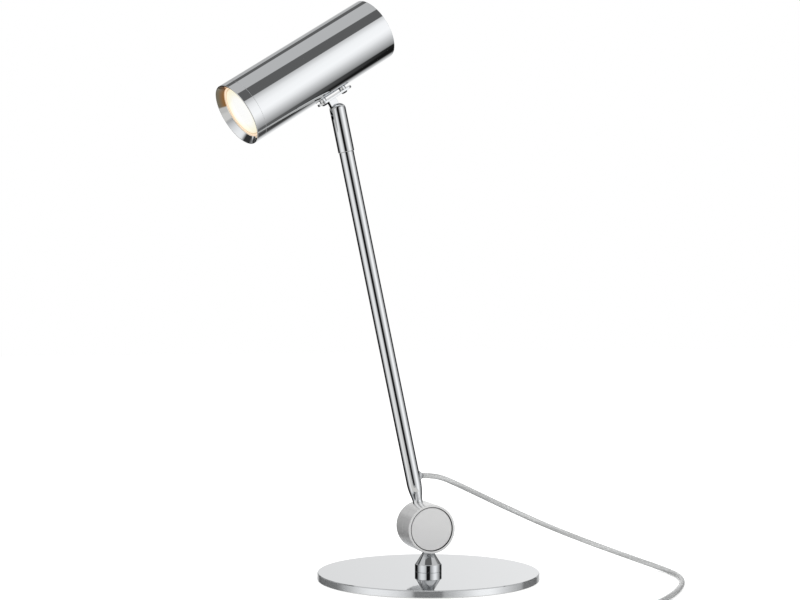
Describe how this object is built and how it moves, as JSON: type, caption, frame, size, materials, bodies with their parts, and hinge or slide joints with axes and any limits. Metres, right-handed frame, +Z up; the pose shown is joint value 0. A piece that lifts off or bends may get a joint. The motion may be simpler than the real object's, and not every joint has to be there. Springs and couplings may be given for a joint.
{
  "type": "table lamp",
  "caption": "Chrome table lamp: round plate base, drum pivot, leaning rod and a tubular spotlight head on a swivelling knuckle, with a grey mains cord, inline switch and plug.",
  "frame": {"origin": "middle of the underside of the base pad, on the table", "axes": "+Z up; the pivot drum lies along Y with its open disc towards -Y; the rod leans towards -X and the head looks towards -X"},
  "size_m": [0.4303, 0.3558, 0.5212],
  "materials": {
    "chrome": "mirror polished",
    "satin_steel": "satin",
    "disc_steel": "satin",
    "zinc_steel": "zinc plated",
    "pad": "matt foam",
    "fibre": "matt",
    "acetal": "matt",
    "grommet": "satin",
    "inner_lead": "matt",
    "bulb_shell": "satin",
    "lens": "frosted, lit",
    "nickel_brass": "nickel plated",
    "porcelain": "glazed",
    "cord": "translucent grey",
    "tie": "woven",
    "switch_plastic": "satin",
    "rocker_plastic": "satin"
  },
  "bodies": {
    "base": {"base_plate": "chrome", "base_pad": "pad", "base_screw": "zinc_steel", "post": "chrome", "drum_front": "satin_steel", "front_disc": "disc_steel", "friction_disc": "fibre", "pivot_bolt": "zinc_steel", "thrust_washer": "zinc_steel", "spring_washer": "zinc_steel", "pivot_nut": "zinc_steel", "cord_hang": "cord", "cord_floor": "cord", "switch_lower": "switch_plastic", "switch_upper": "switch_plastic", "rocker_pin": "zinc_steel", "switch_contacts": "nickel_brass", "cord_tail": "cord", "cord_coil": "cord", "coil_tie": "tie", "cord_end": "cord", "plug_body": "switch_plastic", "plug_pins": "nickel_brass"},
    "arm": {"drum_rear": "satin_steel", "rear_disc": "disc_steel", "arm_pin": "zinc_steel", "arm_rod": "chrome", "cord_gland": "grommet", "arm_lead": "inner_lead", "swivel_bush": "acetal"},
    "knuckle": {"knuckle": "chrome", "hinge_pin": "chrome", "swivel_clip": "zinc_steel"},
    "head": {"head_bracket": "chrome", "bracket_spacers": "chrome", "bracket_screws": "zinc_steel", "bracket_nuts": "zinc_steel", "head_tube": "chrome", "bezel_ring": "chrome", "bulb_body": "bulb_shell", "bulb_lens": "lens", "bulb_pins": "nickel_brass", "lamp_holder": "porcelain", "holder_plate": "zinc_steel", "holder_screws": "zinc_steel", "head_lead": "inner_lead", "rear_cap": "chrome"},
    "rocker": {"switch_rocker": "rocker_plastic"}
  },
  "joints": [
    {"name": "arm_tilt", "type": "hinge", "parent": "base", "child": "arm", "pos_m": [0, 0.016, 0.0458], "axis": [0, -1, 0], "range_deg": [-52, 38], "deforming": ["cord_hang"]},
    {"name": "head_swivel", "type": "hinge", "parent": "arm", "child": "knuckle", "pos_m": [-0.07246, 0.016, 0.38551], "axis": [-0.2086, 0, 0.978], "range_deg": [-165, 165]},
    {"name": "head_tilt", "type": "hinge", "parent": "knuckle", "child": "head", "pos_m": [-0.07967, 0.016, 0.41935], "axis": [0.1782, -0.9833, 0.038], "range_deg": [-27.5, 65]},
    {"name": "switch_rock", "type": "hinge", "parent": "base", "child": "rocker", "pos_m": [-0.0068, -0.24002, 0.0115], "axis": [0.1135, -0.9935, 0], "range_deg": [0, 14]}
  ]
}
